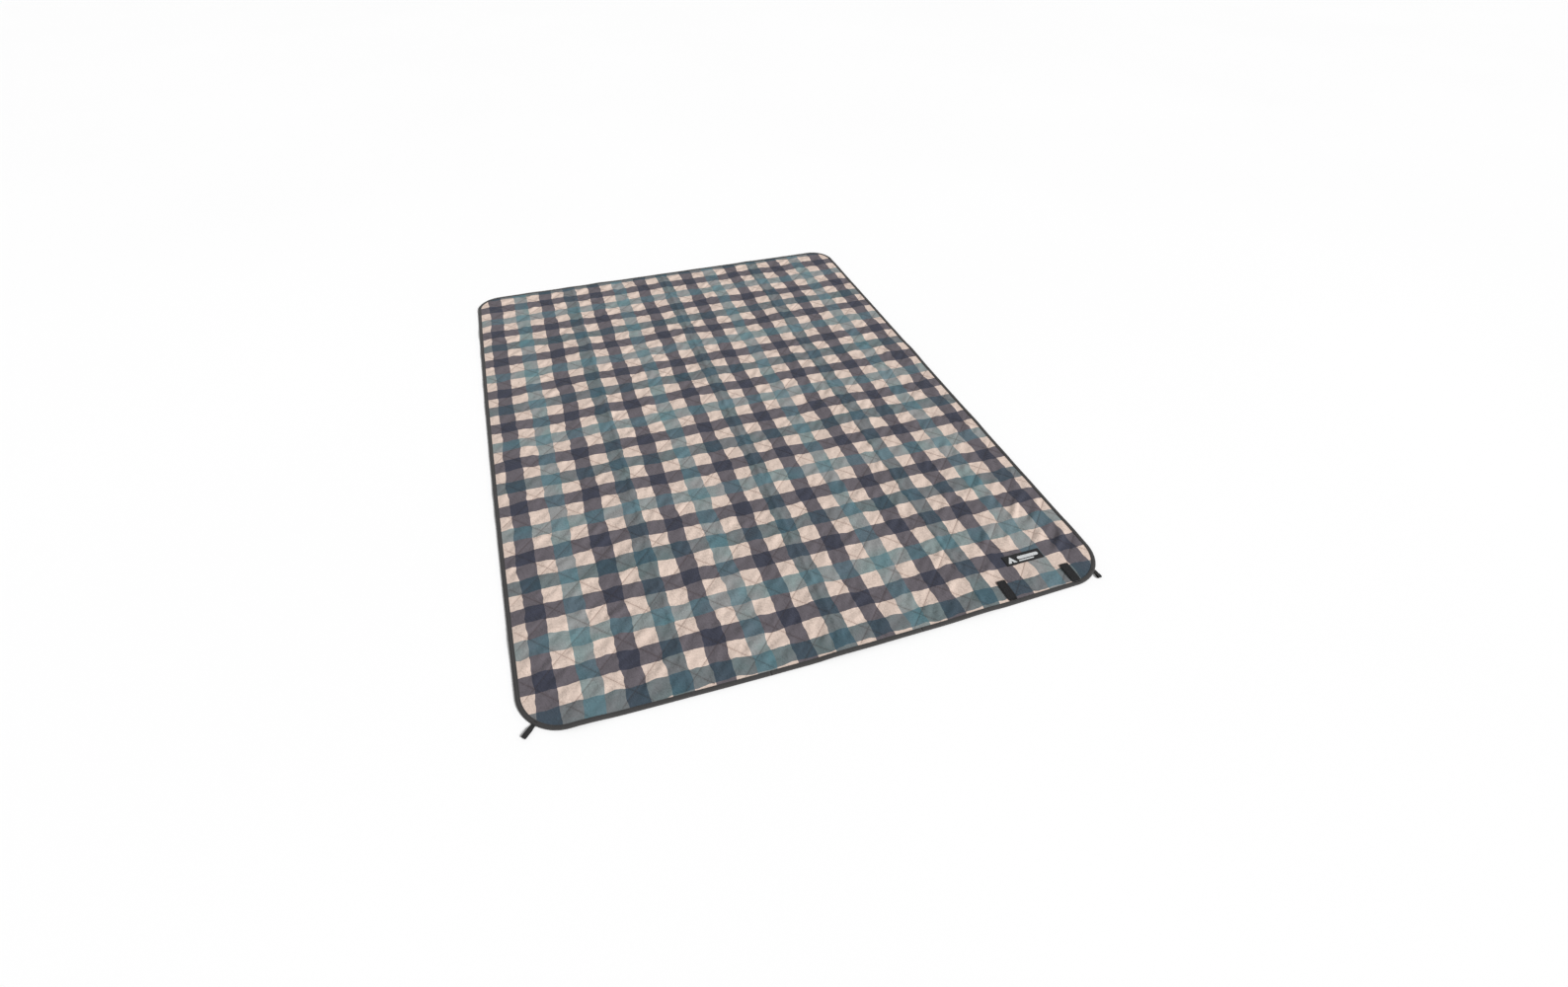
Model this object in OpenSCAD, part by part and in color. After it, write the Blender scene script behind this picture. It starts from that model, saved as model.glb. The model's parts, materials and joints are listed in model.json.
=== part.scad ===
// Camp blanket: a quilted, waterproof-backed rug laid out flat, in four quarters that fold into one.
// Millimetres. X is the width, Y the length with the label at the front (-Y), Z up.
// The origin is the middle of the rug, on the ground.

/* [Rug] */
// Width of the rug laid out
rug_w = 1500; // [1400:20:1700]
// Length of the rug laid out
rug_l = 2000; // [1900:20:2400]
// Corner radius at the front edge
front_r = 110; // [100:5:120]
// Corner radius at the rear edge
rear_r = 85; // [60:5:120]

/* [Layers] */
// Thickness of the printed cover fabric
cover_t = 1.2; // [0.8:0.1:1.6]
// Thickness of the wadding between the fabrics
wadding_t = 2.6; // [2.4:0.1:6]
// Thickness of the coated backing
backing_t = 1.2; // [0.8:0.1:1.6]

/* [Binding] */
// Width of the binding tape on each face of the rug
binding_w = 11; // [10:0.5:16]
// Thickness of the binding tape
tape_t = 0.8; // [0.5:0.1:0.8]
// Distance of the binding's seam from the edge
seam_inset = 9; // [8.5:0.1:9.5]
// Width of the seam's thread
thread_w = 0.6; // [0.4:0.1:0.8]
// Height of the seam's thread above the tape
thread_h = 0.25; // [0.2:0.05:0.3]

/* [Folding] */
// Half of the space between two covers that lie face to face when folded
face_gap = 7; // [5:0.5:9]
// Half of the space between two backings that lie back to back when folded
back_gap = 1.5; // [1:0.5:4]
// Space left between two quarters along a fold
fold_slit = 0.2; // [0.1:0.1:0.5]

/* [Label] */
// Length of the woven label
label_w = 111; // [90:1:120]
// Height of the woven label
label_l = 33; // [25:1:40]
// Thickness of the woven label
label_t = 0.8; // [0.5:0.1:1]
// Distance of the label's middle from the front edge
label_front = 121; // [115:1:140]
// Distance of the label's middle from the right edge
label_side = 193; // [185:1:205]
// Distance of the label's stitching from its rim
label_hem = 2; // [1.5:0.5:4]

/* [Closing tabs] */
// Width of a closing tab
tab_w = 25; // [20:1:30]
// Length of a closing tab
tab_l = 57; // [50:1:60]
// Distance between the middles of the two tabs
tab_pitch = 189; // [170:1:200]
// Distance of the point midway between the tabs from the right edge
tab_side = 200.5; // [190:0.5:210]
// Radius of a tab's free corners
tab_r = 4; // [2:1:8]
// Thickness of a tab's webbing
tab_t = 1; // [0.8:0.1:1.2]
// Thickness of the hook pad under a tab
hook_t = 0.8; // [0.6:0.1:1]
// Length of the hook pad
hook_l = 42; // [30:1:44]
// Margin of webbing round the hook pad
hook_margin = 1; // [1:0.5:2]
// Clearance between a tab and the rug
tab_clear = 0.5; // [0.4:0.1:1]
// Length of the fleecy patch that a tab closes on
patch_l = 120; // [80:5:160]
// Width of the fleecy patch
patch_w = 30; // [26:1:40]
// Distance of the patches' middles from the front edge, about one turn of the rolled rug
patch_front = 720; // [600:10:800]

/* [Peg loops] */
// Width of the peg loop webbing
loop_w = 10; // [8:1:10]
// Thickness of one ply of the loop webbing
ply_t = 0.8; // [0.6:0.1:0.8]
// Height of a peg loop, standing open
loop_h = 6.4; // [6.4:0.2:8]
// Length of the left peg loop
left_loop_l = 34; // [28:1:36]
// Distance of the right peg loop's middle from the right edge
right_loop_side = 40.5; // [38:0.5:45]
// Space between the binding and the root of a peg loop
loop_clear = 0.7; // [0.5:0.1:1]

/* [Hidden] */
$fn = 96;

// The four quarters of the width are numbered 0 to 3 from the left
quarter_w = rug_w / 4;
rug_t = cover_t + wadding_t + backing_t;
front_y = -rug_l / 2;
right_x = rug_w / 2;
cover_z = rug_t - cover_t;
lip_w = binding_w + 1;

// Joint axes as [x, z], all parallel to Y: the half fold, the tuck fold on the left
// and the quarter fold on the right
half_fold = [0, rug_t + face_gap];
tuck_fold = [-quarter_w, -back_gap];
quarter_fold = [quarter_w, 2 * rug_t + 2 * face_gap + back_gap];

// A tab turns about a line in the middle of its thickness, at the binding's inner rim
tab_root_y = front_y + binding_w;
tab_z = rug_t + tab_clear;
tab_axis = [tab_root_y, tab_z + (hook_t + tab_t) / 2];
tab_mid_x = right_x - tab_side;

// A peg loop turns about the rounded root of its neck
loop_axis_z = loop_h / 2;
neck_l = 4;
neck_r = ply_t;
root_gap = loop_clear + neck_r;
left_arc = [-right_x + front_r, front_y + front_r];
left_loop_angle = 225;
right_loop_x = right_x - right_loop_side;
right_loop_out = right_loop_x - loop_w / 2 - (right_x - front_r);
right_loop_y = front_y + front_r - sqrt(pow(front_r, 2) - pow(right_loop_out, 2)) - root_gap;
right_loop_l = right_loop_y - front_y;
right_loop_angle = -acos((right_loop_x - right_x + front_r) / front_r);

// Bartacks, the short bars of dense stitching
tack_w = 1.8;
tack_h = 0.35;
tack_inset = 5.5;
tab_tack_l = tab_w - 3;
loop_tack_l = loop_w - 1;

// Outline of the whole rug, drawn in by d all round
module outline(d) {
    x = right_x - d;
    y = rug_l / 2 - d;
    f = front_r - d;
    r = rear_r - d;
    translate([-x, -y + f]) square([2 * x, 2 * y - f - r]);
    translate([-x + f, -y]) square([2 * (x - f), 2 * f]);
    translate([-x + r, y - 2 * r]) square([2 * (x - r), 2 * r]);
    for (side = [-1, 1]) {
        translate([side * (x - f), -y + f]) circle(f);
        translate([side * (x - r), y - r]) circle(r);
    }
}

// The part of a flat shape that lies on one quarter, short of the slits along its folds
module on_quarter(quarter) {
    x0 = -right_x + quarter * quarter_w + (quarter > 0 ? fold_slit / 2 : 0);
    x1 = -right_x + (quarter + 1) * quarter_w - (quarter < 3 ? fold_slit / 2 : 0);
    intersection() {
        children();
        translate([x0, -rug_l]) square([x1 - x0, 2 * rug_l]);
    }
}

// Flat sheet over one quarter, from d_out inside the rug's edge inwards
module sheet(quarter, z, t, d_out) {
    translate([0, 0, z]) linear_extrude(t) on_quarter(quarter) outline(d_out);
}

// Band along the rug's edge on one quarter, between two distances from the edge
module band(quarter, z, t, d_out, d_in) {
    translate([0, 0, z]) linear_extrude(t) on_quarter(quarter) difference() {
        outline(d_out);
        outline(d_in);
    }
}

// Bar with round ends, centred, along X
module pill(l, w) {
    square([l - w, w], center = true);
    for (side = [-1, 1]) translate([side * (l - w) / 2, 0]) circle(w / 2, $fn = 24);
}

// Strip along Y from its root at y = 0, with rounded free corners
module strip(w, l, r) {
    translate([-w / 2, 0]) square([w, l - r]);
    translate([-w / 2 + r, l - 2 * r]) square([w - 2 * r, 2 * r]);
    for (side = [-1, 1]) translate([side * (w / 2 - r), l - r]) circle(r, $fn = 32);
}

// Printed cover, pinched down to a lip where the binding grips it
module cover(quarter) {
    color("#8b8a8c") {
        sheet(quarter, cover_z, cover_t, binding_w);
        band(quarter, cover_z - tape_t, cover_t, tape_t, lip_w);
    }
}

// Wadding, thinned where the binding grips it
module wadding(quarter) {
    color("white") {
        sheet(quarter, backing_t, wadding_t, lip_w);
        band(quarter, backing_t + tape_t, wadding_t - 2 * tape_t, tape_t, lip_w + 1);
    }
}

// Coated backing, pinched up to a lip where the binding grips it
module plain_backing(quarter) {
    color("#3d3f42") {
        sheet(quarter, 0, backing_t, binding_w);
        band(quarter, tape_t, backing_t, tape_t, lip_w);
    }
}

// Backing of the right quarter, with shallow seats for the two patches
module backing_right() {
    difference() {
        plain_backing(3);
        for (side = [-1, 1]) patch(side, 1);
    }
}

// Binding tape, folded round the edge of one quarter
module binding(quarter) {
    color("#4a4a48") difference() {
        band(quarter, 0, rug_t, 0, binding_w);
        band(quarter, tape_t, rug_t - 2 * tape_t, tape_t, lip_w);
    }
}

// Raised line of the binding's seam on one quarter
module seam_thread(quarter) {
    color("#2f2f30") band(quarter, rug_t, thread_h, seam_inset - thread_w / 2, seam_inset + thread_w / 2);
}

// Woven label, square-cornered
module label() {
    color("#1d1e1f") translate([right_x - label_side, front_y + label_front, rug_t])
        linear_extrude(label_t) square([label_w, label_l], center = true);
}

// Line of stitching just inside the label's rim
module label_stitching() {
    w = label_w - 2 * label_hem;
    l = label_l - 2 * label_hem;
    color("#3a3b3c") translate([right_x - label_side, front_y + label_front, rug_t + label_t])
        linear_extrude(thread_h) difference() {
            square([w, l], center = true);
            square([w - 2 * thread_w, l - 2 * thread_w], center = true);
        }
}

// Webbing of a closing tab, lying back on the rug
module tab_webbing(side) {
    color("#18191a") translate([tab_mid_x + side * tab_pitch / 2, tab_root_y, tab_z + hook_t])
        linear_extrude(tab_t) strip(tab_w, tab_l, tab_r);
}

// Pad of hooks on the face of the tab that lies on the rug
module tab_hooks(side) {
    y = tab_root_y + tab_l - hook_margin - hook_l;
    color("#26282a") translate([tab_mid_x + side * tab_pitch / 2, y, tab_z])
        linear_extrude(hook_t) strip(tab_w - 2 * hook_margin, hook_l, tab_r - hook_margin);
}

// Patch under the rug that a tab closes on, or with cut = 1 the seat that it lies in
module patch(side, cut) {
    translate([tab_mid_x + side * tab_pitch / 2, front_y + patch_front, -cut])
        linear_extrude(tape_t + cut) square([patch_w, patch_l], center = true);
}

module tab_patch(side) {
    color("#202224") patch(side, 0);
}

// Peg loop along X from its root: a doubled neck and a ring of webbing that stands open
module peg_loop(l) {
    r = loop_h / 2;
    ring_x = neck_l + r - ply_t / 2;
    rotate([90, 0, 0]) linear_extrude(loop_w, center = true) {
        circle(neck_r, $fn = 32);
        translate([0, -neck_r]) square([neck_l, 2 * neck_r]);
        difference() {
            union() {
                translate([ring_x, -r]) square([l - r - ring_x, 2 * r]);
                translate([ring_x, 0]) circle(r, $fn = 48);
                translate([l - r, 0]) circle(r, $fn = 48);
            }
            translate([ring_x, -r + ply_t]) square([l - r - ring_x, 2 * (r - ply_t)]);
            translate([ring_x, 0]) circle(r - ply_t, $fn = 48);
            translate([l - r, 0]) circle(r - ply_t, $fn = 48);
        }
    }
}

// Left peg loop, square to the middle of the corner
module peg_loop_left() {
    reach = front_r + root_gap;
    x = left_arc[0] + reach * cos(left_loop_angle);
    y = left_arc[1] + reach * sin(left_loop_angle);
    color("#2b2b2a") translate([x, y, loop_axis_z]) rotate([0, 0, left_loop_angle]) peg_loop(left_loop_l);
}

// Right peg loop, straight forward from the corner
module peg_loop_right() {
    color("#2b2b2a") translate([right_loop_x, right_loop_y, loop_axis_z]) rotate([0, 0, -90])
        peg_loop(right_loop_l);
}

// Bartack over the root of a tab
module bartack_tab(side) {
    color("#111111") translate([tab_mid_x + side * tab_pitch / 2, front_y + tack_inset, rug_t])
        linear_extrude(tack_h) pill(tab_tack_l, tack_w);
}

// Bartack over the root of a peg loop, angle round the corner's arc from +X
module bartack_loop(side, angle) {
    reach = front_r - tack_inset;
    x = side * (right_x - front_r) + reach * cos(angle);
    y = front_y + front_r + reach * sin(angle);
    color("#111111") translate([x, y, rug_t]) rotate([0, 0, angle + 90])
        linear_extrude(tack_h) pill(loop_tack_l, tack_w);
}

cover(0);  // cover_left
cover(1);  // cover_mid_left
cover(2);  // cover_mid_right
cover(3);  // cover_right
wadding(0);  // wadding_left
wadding(1);  // wadding_mid_left
wadding(2);  // wadding_mid_right
wadding(3);  // wadding_right
plain_backing(0);  // backing_left
plain_backing(1);  // backing_mid_left
plain_backing(2);  // backing_mid_right
backing_right();
binding(0);  // binding_left
binding(1);  // binding_mid_left
binding(2);  // binding_mid_right
binding(3);  // binding_right
seam_thread(0);  // seam_thread_left
seam_thread(1);  // seam_thread_mid_left
seam_thread(2);  // seam_thread_mid_right
seam_thread(3);  // seam_thread_right
label();
label_stitching();
tab_webbing(-1);  // tab_left_webbing
tab_hooks(-1);  // tab_left_hooks
tab_webbing(1);  // tab_right_webbing
tab_hooks(1);  // tab_right_hooks
tab_patch(-1);  // tab_patch_left
tab_patch(1);  // tab_patch_right
peg_loop_left();
peg_loop_right();
bartack_tab(-1);  // bartack_tab_left
bartack_tab(1);  // bartack_tab_right
bartack_loop(-1, left_loop_angle);  // bartack_loop_left
bartack_loop(1, right_loop_angle);  // bartack_loop_right
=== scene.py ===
"""Looks of the camp blanket: a quilted rug with a checked cover, laid out flat on a pale floor.

Each layer of the rug is made in three zones, left, middle and right. They meet halfway between the fold
lines, so each zone spans one fold. Lengths are in metres in the CAD model's frame: X is the
rug's width, -Y its front and Z up. A point at rest is first found on the flat rug, then laid.
"""

import json
import math

import bpy
import numpy as np
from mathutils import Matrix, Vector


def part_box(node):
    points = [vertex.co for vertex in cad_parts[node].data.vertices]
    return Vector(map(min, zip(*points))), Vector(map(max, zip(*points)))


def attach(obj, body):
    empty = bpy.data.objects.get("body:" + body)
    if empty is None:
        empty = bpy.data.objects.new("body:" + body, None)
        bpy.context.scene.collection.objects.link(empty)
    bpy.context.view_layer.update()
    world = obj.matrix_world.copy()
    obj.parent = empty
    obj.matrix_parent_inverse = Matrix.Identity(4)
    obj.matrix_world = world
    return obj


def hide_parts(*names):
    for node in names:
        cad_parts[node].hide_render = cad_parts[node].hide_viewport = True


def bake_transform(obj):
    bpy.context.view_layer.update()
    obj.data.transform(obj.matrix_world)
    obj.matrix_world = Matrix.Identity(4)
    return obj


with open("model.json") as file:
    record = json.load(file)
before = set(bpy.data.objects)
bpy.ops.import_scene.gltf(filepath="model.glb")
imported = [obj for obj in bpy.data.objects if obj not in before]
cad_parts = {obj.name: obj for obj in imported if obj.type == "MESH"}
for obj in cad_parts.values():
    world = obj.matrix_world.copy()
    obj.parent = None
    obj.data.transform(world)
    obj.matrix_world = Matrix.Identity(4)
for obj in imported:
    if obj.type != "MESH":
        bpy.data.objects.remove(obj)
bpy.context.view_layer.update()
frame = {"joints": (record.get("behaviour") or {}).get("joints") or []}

MM = 0.001
UV = "rest"
# The attribute that holds where the cover gets painted shade along its quilting lines
GROOVE_SHADE_ATTRIBUTE = "painted_groove_shade"


def box(node):
    """The lowest and the highest corner of a CAD node."""
    return np.array(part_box(node), float)


def joint_point(name):
    """The point that a joint turns about."""
    return np.array(next(j["pos_m"] for j in frame["joints"] if j["name"] == name), float)


# The rug's outline
EDGE_X, EDGE_Y, RUG_T = box("binding_right")[1]
FRONT_R, REAR_R = 110 * MM, 85 * MM
BINDING_W = 11 * MM
SEAM_INSET = 9 * MM
FOLDS = (-EDGE_X / 2, 0.0, EDGE_X / 2)

# Quilting: two families of diagonal lines, and a grid of points that they run through
QUILT_STEP = 100 * MM * math.sqrt(2)
GRID = QUILT_STEP / 28
PHASE_MINUS = 31.2 * MM
PHASE_PLUS = QUILT_STEP - PHASE_MINUS

# The layers end this far inside the rug's edge, and beyond this x they are drawn in to its corners
LAYER_INSET = 3 * MM
SQUEEZE_FROM = 0.63

# The zones, the quarters that each one covers, and the bodies and the width of its bend
ZONES = ("left", "middle", "right")
ZONE_QUARTERS = {"left": ("left",), "middle": ("mid_left", "mid_right"), "right": ("right",)}
ZONE_BEND = {
    "left": ("quarter_mid_left", "quarter_left", -EDGE_X / 2 + 7 * MM, -EDGE_X / 2 - 7 * MM),
    "middle": ("quarter_mid_right", "quarter_mid_left", 10 * MM, -10 * MM),
    "right": ("quarter_right", "quarter_mid_right", EDGE_X / 2 + 20 * MM, EDGE_X / 2 - 20 * MM),
}
ZONE_EDGE = 38 * GRID
BEND_STEPS = 16
BEND_COLUMNS = [np.linspace(end, start, BEND_STEPS + 1) for _, _, start, end in ZONE_BEND.values()]

# Heights of the layers above the underside of the rug
FABRIC_T = 0.75 * MM
LINE_TOP, PUFF_TOP, BORDER_TOP, LEAST_TOP = 3.6 * MM, 5.3 * MM, 4.15 * MM, 3.45 * MM
LINE_BOTTOM, BORDER_BOTTOM, PATCH_SEAT = 0.9 * MM, 0.95 * MM, 0.6 * MM
PUFF_POWER, CALM_PUFF = 5.0, 0.5
BORDER_REACH = 22 * MM
# The wadding's gaps under the cover and over the backing, and the least that it may be
WADDING_UNDER, WADDING_OVER, WADDING_LEAST = 0.2 * MM, 0.12 * MM, 0.4 * MM
# At the folds the cover has a crease and the wadding is crimped
CREASE, CREASE_REACH = 2.4 * MM, 8 * MM
CRIMP, CRIMP_REACH = 1.2 * MM, 25 * MM
# The most that the underside may be off the ground, and the cover's top
LIFT_MAX, CEILING = 4.2 * MM, 11.1 * MM

# How the rug lies: its front and left edges bow out a little
FRONT_BOW, BOW_X, BOW_HALF = 13 * MM, 0.0, 0.85
LEFT_BOW, BOW_FADE = 8 * MM, 0.30
# The check follows a share of the front's bow, and its first row is shifted by so much between two x
PATTERN_SHARE = 0.45
FIRST_ROW_X, FIRST_ROW_SHIFT, FIRST_ROW_REACH = (-0.45, -0.15), (5 * MM, -3 * MM), 35 * MM

# The cloth is gathered most round the tabs
GATHER_AT, GATHER_REACH = (0.52, -0.80), 0.30

# Cloth settling on the ground, from ridges at its folds and a gap under its lowest point
SIM_STEP = 20 * MM
SIM_FRAMES = 32
SEED = 7
RIDGE, RIDGE_REACH, START_GAP = 7 * MM, 30 * MM, 4 * MM


# ---------------- camera

CAMERA_AT, CAMERA_TURN = (-0.51198, -1.87539, 1.43722), (46.7997, -0.2445, -18.2815)
SENSOR, LENS, SHIFT_X = 36, 16.632, 0.01558


def make_camera():
    """The camera at the photograph's place, turned by so many degrees."""
    data = bpy.data.cameras.new("camera")
    data.sensor_width, data.lens, data.shift_x = SENSOR, LENS, SHIFT_X
    data.clip_start, data.clip_end = 0.01, 600
    camera = bpy.data.objects.new("camera", data)
    camera.location = CAMERA_AT
    camera.rotation_euler = [math.radians(a) for a in CAMERA_TURN]
    bpy.context.scene.collection.objects.link(camera)
    bpy.context.scene.camera = camera


make_camera()


# ---------------- materials


def linear(colour):
    """An sRGB colour of 0 to 255 as the linear RGBA that a shader takes."""
    scaled = [c / 255 for c in colour]
    return (*[c / 12.92 if c <= 0.04045 else ((c + 0.055) / 1.055) ** 2.4 for c in scaled], 1.0)


def node(tree, kind, inputs=(), out=0, **settings):
    """Adds a shader node, links or sets its inputs, and returns one of its outputs."""
    made = tree.nodes.new("ShaderNode" + kind)
    for name, value in settings.items():
        setattr(made, name, value)
    for key, value in dict(inputs).items():
        if isinstance(value, bpy.types.NodeSocket):
            tree.links.new(value, made.inputs[key])
        else:
            made.inputs[key].default_value = value
    return made.outputs[out]


def maths(tree, operation, a, b=0.0, c=0.0):
    return node(tree, "Math", {0: a, 1: b, 2: c}, operation=operation)


def mixed(tree, share, a, b, blend="MIX"):
    """Colour b over colour a."""
    return node(tree, "Mix", {0: share, 6: a, 7: b}, out=2, data_type="RGBA", blend_type=blend)


def noise(tree, vector, scale, detail=2.0, roughness=0.5, colour=False):
    inputs = {"Vector": vector, "Scale": scale, "Detail": detail, "Roughness": roughness}
    return node(tree, "TexNoise", inputs, out="Color" if colour else "Fac", noise_dimensions="3D")


def steps(tree, factor, colours):
    """Equal flat bands of colour along a factor from 0 to 1."""
    out = node(tree, "ValToRGB", {0: factor})
    ramp = out.node.color_ramp
    ramp.interpolation = "CONSTANT"
    for k, colour in enumerate(colours):
        stop = ramp.elements[k] if k < 2 else ramp.elements.new(k / len(colours))
        stop.position = k / len(colours)
        stop.color = colour
    return out


def weave(tree, uv, across, along):
    """Height of a plain weave from -1 to 1, with the pitch of its threads both ways."""
    split = node(tree, "SeparateXYZ", {0: uv}).node.outputs
    waves = [
        maths(tree, "SINE", maths(tree, "MULTIPLY", split[axis], math.tau / pitch))
        for axis, pitch in ((0, across), (1, along))
    ]
    return maths(tree, "MULTIPLY", *waves)


# Waves per metre of the clouds in a material's tone, and of its wrinkles along and across
CLOUDS, WRINKLES = 22.0, (38.0, 110.0, 1.0)


def surface(name, colour, pitch, relief, roughness, sheen, mottle, fuzz, wrinkle=0.0):
    """A woven material. colour is an sRGB colour or a function of the tree and its UVs, pitch the
    spacing of its threads both ways, and relief, fuzz and wrinkle are heights, all in millimetres."""
    made = bpy.data.materials.new(name)
    made.use_nodes = True
    tree = made.node_tree
    tree.nodes.clear()
    uv = node(tree, "UVMap", uv_map=UV)
    base = colour(tree, uv) if callable(colour) else linear(colour)
    pitch = [p * MM for p in pitch]
    fibres = noise(tree, uv, 0.9 / min(pitch), 3.0, 0.6)
    cloudy = noise(tree, uv, CLOUDS, 3.0)
    shade = maths(tree, "MULTIPLY_ADD", fibres, 2 * mottle, 1 - mottle)
    shade = maths(tree, "MULTIPLY", shade, maths(tree, "MULTIPLY_ADD", cloudy, mottle, 1 - mottle / 2))
    grey = node(tree, "CombineColor", {0: shade, 1: shade, 2: shade})
    threads = weave(tree, uv, *pitch)
    height = maths(tree, "MULTIPLY", threads, relief * MM / 2)
    height = maths(tree, "MULTIPLY_ADD", fibres, fuzz * MM, height)
    if wrinkle:
        turned = node(tree, "VectorRotate", {"Vector": uv, "Angle": math.pi / 4}, rotation_type="Z_AXIS")
        drawn_out = node(tree, "VectorMath", {0: turned, 1: WRINKLES}, operation="MULTIPLY")
        crumple = noise(tree, drawn_out, 1.0, 3.0, 0.55)
        ridges = maths(tree, "ABSOLUTE", maths(tree, "SUBTRACT", crumple, 0.5))
        height = maths(tree, "MULTIPLY_ADD", ridges, -wrinkle * MM, height)
    bump = node(tree, "Bump", {"Strength": 1.0, "Distance": 1.0, "Height": height})
    shader = node(
        tree,
        "BsdfPrincipled",
        {
            "Base Color": mixed(tree, 1.0, base, grey, "MULTIPLY"),
            "Roughness": maths(tree, "MULTIPLY_ADD", fibres, 0.16, roughness - 0.08),
            "Sheen Weight": sheen,
            "Sheen Roughness": 0.5,
            "Specular IOR Level": 0.25,
            "Normal": bump,
        },
    )
    output = tree.nodes.new("ShaderNodeOutputMaterial")
    tree.links.new(shader, output.inputs[0])
    return made


# The check: stripes of four yarns both ways, and the colour where two yarns cross
STRIPE = 48.95 * MM
FIRST_X, FIRST_Y = -0.709, -0.988
YARNS_X = "DCTCDCSC"
YARNS_Y = "SCDCTCDC"
CROSSINGS = {
    "CC": (215, 196, 184),
    "CT": (145, 146, 146),
    "CS": (118, 120, 122),
    "CD": (104, 99, 104),
    "TT": (114, 132, 138),
    "ST": (101, 122, 130),
    "DT": (93, 108, 117),
    "SS": (81, 98, 108),
    "DS": (74, 84, 94),
    "DD": (69, 71, 82),
}
HAZE = 0.019
# Painted shade in the quilting grooves: the cover's colour is multiplied by this along its quilting lines
PAINTED_GROOVE_SHADE = (0.80, 0.76, 0.75, 1.0)
# Where the teal yarns are fresher: the shade, and the clouds that choose the places
FRESH_TEAL = (0.80, 0.99, 0.98, 1.0)
FRESH_CLOUDS, FRESH_GAIN, FRESH_SHIFT = 11.0, 4.0, -1.6
# How far the stripes waver, in millimetres, at each number of waves per metre
WAVER = ((5.0, 20.0), (16.0, 13.0), (42.0, 6.0))


def check(tree, uv):
    """The checked cover's colour. Its stripes waver a little, as printed cloth does once it is quilted, and
    painted shade darkens it along the quilting lines.
    """
    for scale, reach in WAVER:
        shift = noise(tree, uv, scale, 1.0, colour=True)
        shift = node(tree, "VectorMath", {0: shift, 1: (0.5, 0.5, 0.5)}, operation="SUBTRACT")
        shift = node(tree, "VectorMath", {0: shift, 1: (reach * MM,) * 3}, operation="MULTIPLY")
        uv = node(tree, "VectorMath", {0: uv, 1: shift}, operation="ADD")
    split = node(tree, "SeparateXYZ", {0: uv}).node.outputs
    period = STRIPE * len(YARNS_X)
    across, along = (
        maths(tree, "FRACT", maths(tree, "MULTIPLY_ADD", split[axis], 1 / period, 4 - first / period))
        for axis, first in ((0, FIRST_X), (1, FIRST_Y))
    )

    def dyed(crossing):
        """The colour of a crossing, less what the sheen of the cloth adds to it in the soft light."""
        return (*[max(c - HAZE, 0.004) for c in linear(CROSSINGS[crossing])[:3]], 1.0)

    def row(yarn):
        return steps(tree, across, [dyed("".join(sorted(yarn + x))) for x in YARNS_X])

    def mask(factor, yarns, chosen):
        return steps(tree, factor, [(1.0,) * 4 if y in chosen else (0.0, 0.0, 0.0, 1.0) for y in yarns])

    colour = row("C")
    for yarn in "TSD":
        colour = mixed(tree, mask(along, YARNS_Y, yarn), colour, row(yarn))
    teal = maths(tree, "MAXIMUM", mask(across, YARNS_X, "TS"), mask(along, YARNS_Y, "TS"))
    fresh = maths(tree, "MULTIPLY_ADD", noise(tree, uv, FRESH_CLOUDS), FRESH_GAIN, FRESH_SHIFT)
    share = node(tree, "Clamp", {0: maths(tree, "MULTIPLY", fresh, teal)})
    colour = mixed(tree, share, colour, mixed(tree, 1.0, colour, FRESH_TEAL, "MULTIPLY"))
    # The cover is darkened along its quilting lines: painted shade in their grooves
    groove_shade_share = node(tree, "Attribute", out=2, attribute_name=GROOVE_SHADE_ATTRIBUTE)
    return mixed(tree, groove_shade_share, colour, mixed(tree, 1.0, colour, PAINTED_GROOVE_SHADE, "MULTIPLY"))


def thread(name, colour, roughness=0.6):
    return surface(name, colour, (0.3, 0.3), 0.02, roughness, 0.1, 0.1, 0.05)


# Each has its colour, pitch and relief, then roughness, sheen, mottle and fuzz, and wrinkle where it has one
COVER = surface("checked_cover", check, (0.9, 0.9), 0.10, 0.72, 0.05, 0.09, 0.10, 5.8)
BACKING = surface("coated_backing", (58, 60, 63), (5.0, 5.0), 0.12, 0.42, 0.0, 0.08, 0.06, 2.0)
WADDING = surface("wadding", (226, 226, 222), (3.0, 3.0), 0.10, 0.95, 0.2, 0.05, 0.8)
BINDING = surface("binding_tape", (62, 61, 61), (1.1, 2.4), 0.22, 0.74, 0.1, 0.16, 0.10)
SEAM_THREAD = thread("seam_thread", (44, 44, 46))
QUILT_THREAD = thread("quilting_thread", (66, 59, 57))
UNDER_THREAD = thread("underside_thread", (38, 39, 41))
LABEL = surface("woven_label", (27, 28, 30), (0.5, 0.8), 0.12, 0.62, 0.1, 0.15, 0.05)
EMBLEM = surface("emblem_thread", (205, 207, 208), (0.4, 1.6), 0.15, 0.5, 0.2, 0.10, 0.05)
WEBBING = surface("tab_webbing", (17, 18, 21), (1.0, 1.6), 0.30, 0.72, 0.1, 0.20, 0.08)
HOOKS = surface("hook_tape", (30, 31, 34), (1.6, 1.6), 0.15, 0.35, 0.0, 0.15, 0.05)
FLEECE = surface("fleecy_tape", (33, 35, 37), (1.2, 1.2), 0.15, 0.95, 0.5, 0.30, 0.50)
LOOP_WEBBING = surface("loop_webbing", (38, 38, 38), (0.9, 1.4), 0.28, 0.75, 0.1, 0.20, 0.08)
BARTACK = thread("bartack_thread", (20, 20, 21), 0.55)


# ---------------- meshes


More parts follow.
